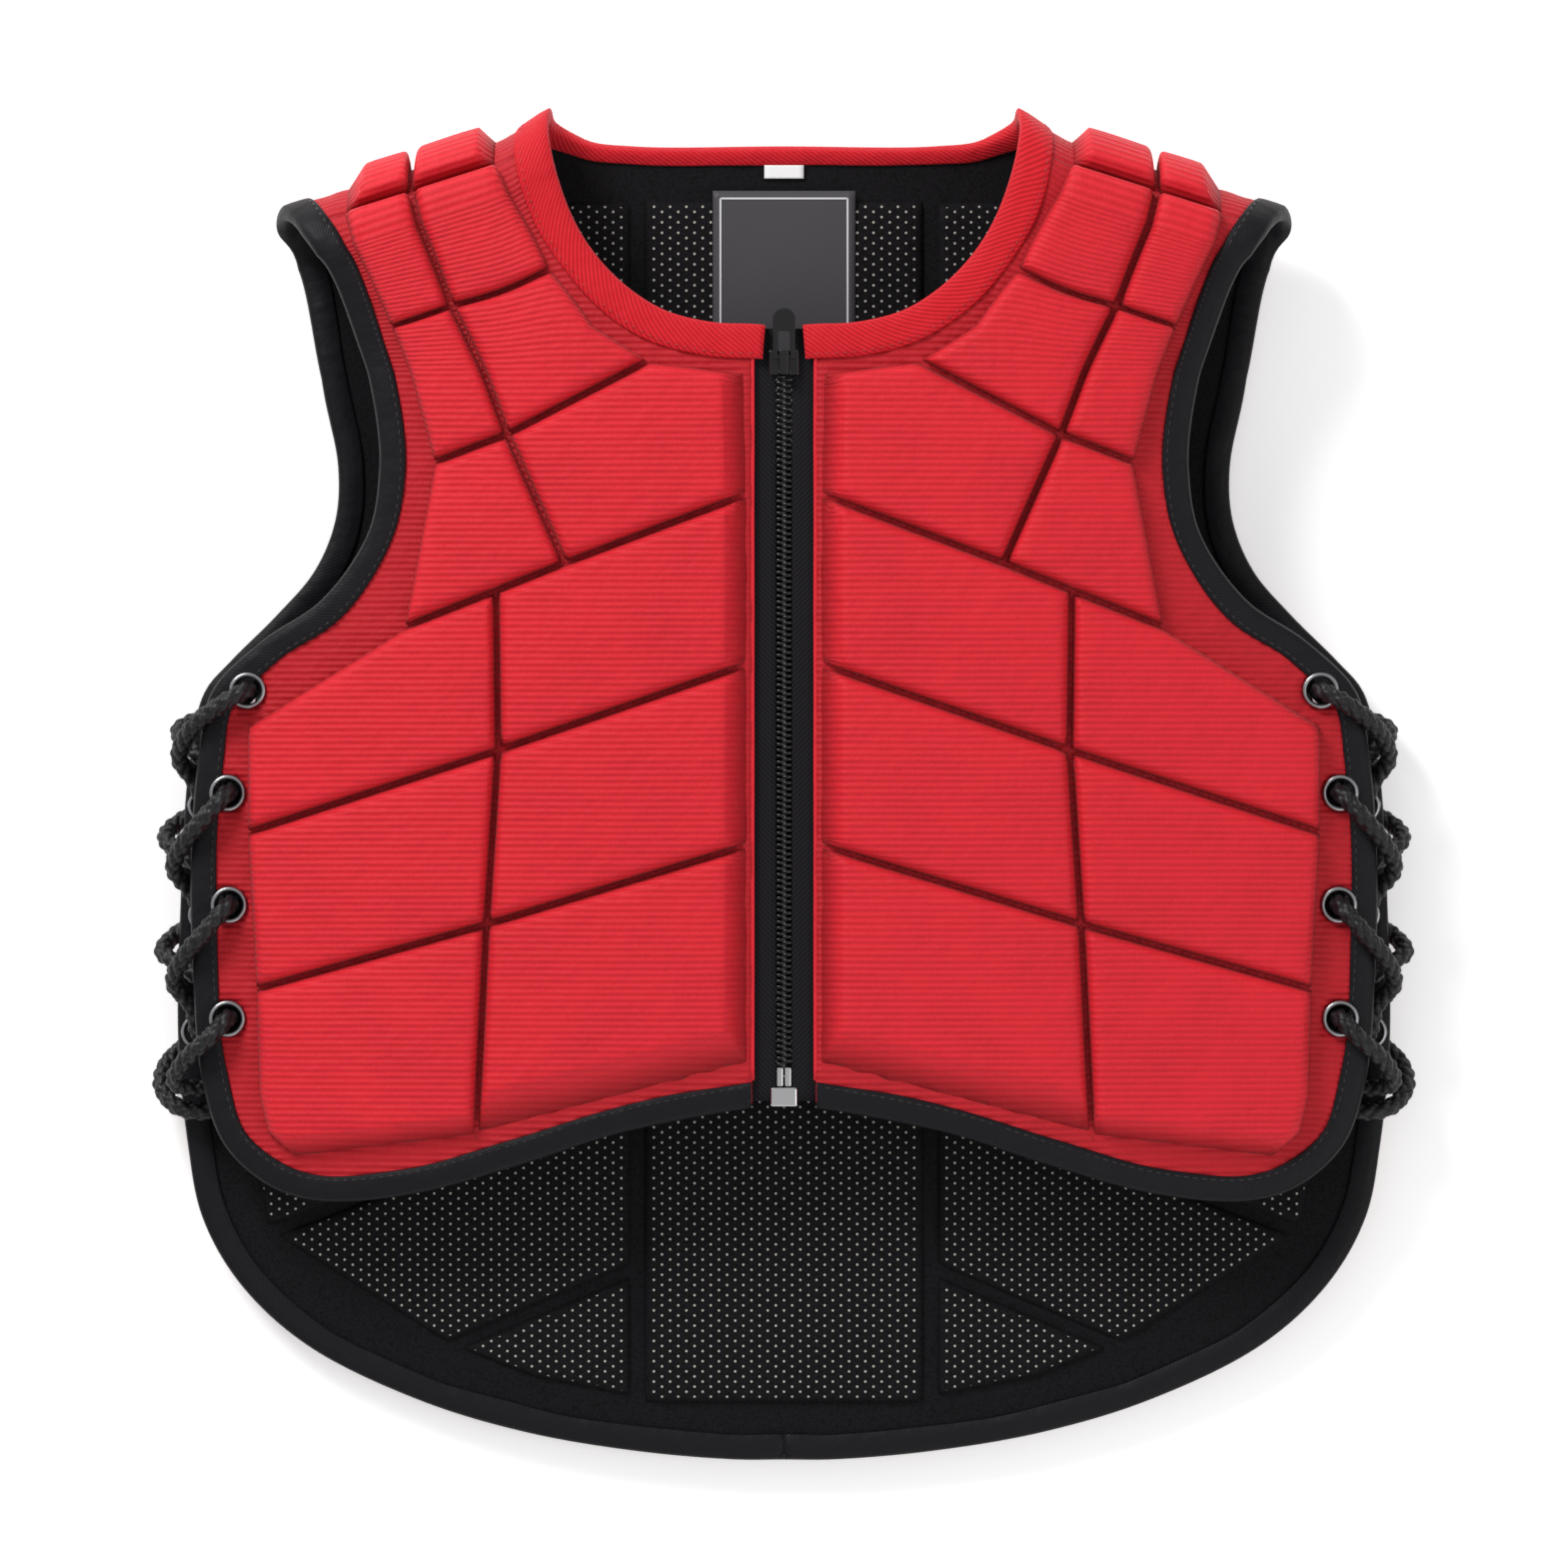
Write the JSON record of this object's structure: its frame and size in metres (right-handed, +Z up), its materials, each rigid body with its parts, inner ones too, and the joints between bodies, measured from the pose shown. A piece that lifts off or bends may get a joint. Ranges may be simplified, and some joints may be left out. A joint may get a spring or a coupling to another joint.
{
  "type": "equestrian body protector",
  "caption": "Sleeveless riding vest of foam pads under red cloth, with a front zip and laced sides, lying on its back.",
  "frame": {"origin": "middle of the floor under the vest as it lies on its back: the centre of the bounding box's bottom face", "axes": "+Z up with the front facing up, +Y towards the shoulders, +X towards the wearer's left"},
  "size_m": [0.4958, 0.5314, 0.0694],
  "materials": {
    "pad_cloth": "ribbed woven polyester over foam",
    "lining_cloth": "perforated knitted mesh",
    "black_tape": "smooth woven binding tape",
    "neck_tape": "twill binding tape",
    "eyelet_metal": "gunmetal plated eyelet",
    "lace_cord": "braided cord",
    "zip_tape": "woven zip tape",
    "zip_metal": "black coated zip metal",
    "zip_silver": "bright plated zip metal",
    "label_cloth": "smooth label cloth with a thin light frame",
    "tag_cloth": "white satin ribbon"
  },
  "bodies": {
    "vest": {"back_panel": "pad_cloth", "front_panel_left": "pad_cloth", "front_panel_right": "pad_cloth", "shoulder_strap_left": "pad_cloth", "shoulder_strap_right": "pad_cloth", "back_lining": "lining_cloth", "front_lining_left": "lining_cloth", "front_lining_right": "lining_cloth", "shoulder_lining_left": "lining_cloth", "shoulder_lining_right": "lining_cloth", "edge_binding_left": "black_tape", "edge_binding_right": "black_tape", "neck_binding": "neck_tape", "front_eyelet_1_left": "eyelet_metal", "front_eyelet_1_right": "eyelet_metal", "front_eyelet_2_left": "eyelet_metal", "front_eyelet_2_right": "eyelet_metal", "front_eyelet_3_left": "eyelet_metal", "front_eyelet_3_right": "eyelet_metal", "front_eyelet_4_left": "eyelet_metal", "front_eyelet_4_right": "eyelet_metal", "back_eyelet_1_left": "eyelet_metal", "back_eyelet_1_right": "eyelet_metal", "back_eyelet_2_left": "eyelet_metal", "back_eyelet_2_right": "eyelet_metal", "back_eyelet_3_left": "eyelet_metal", "back_eyelet_3_right": "eyelet_metal", "back_eyelet_4_left": "eyelet_metal", "back_eyelet_4_right": "eyelet_metal", "lace_left": "lace_cord", "lace_right": "lace_cord", "zip_tape_left": "zip_tape", "zip_tape_right": "zip_tape", "zip_chain": "zip_metal", "zip_slider": "zip_metal", "zip_pin_left": "zip_silver", "zip_pin_right": "zip_silver", "zip_box": "zip_silver", "label_patch": "label_cloth", "neck_tag": "tag_cloth"},
    "pull": {"zip_pull": "zip_metal"}
  },
  "joints": [
    {"name": "pull_hinge", "type": "hinge", "parent": "vest", "child": "pull", "pos_m": [0, 0.16535, 0.06258], "axis": [1, 0, 0], "range_deg": [0, 178]}
  ]
}
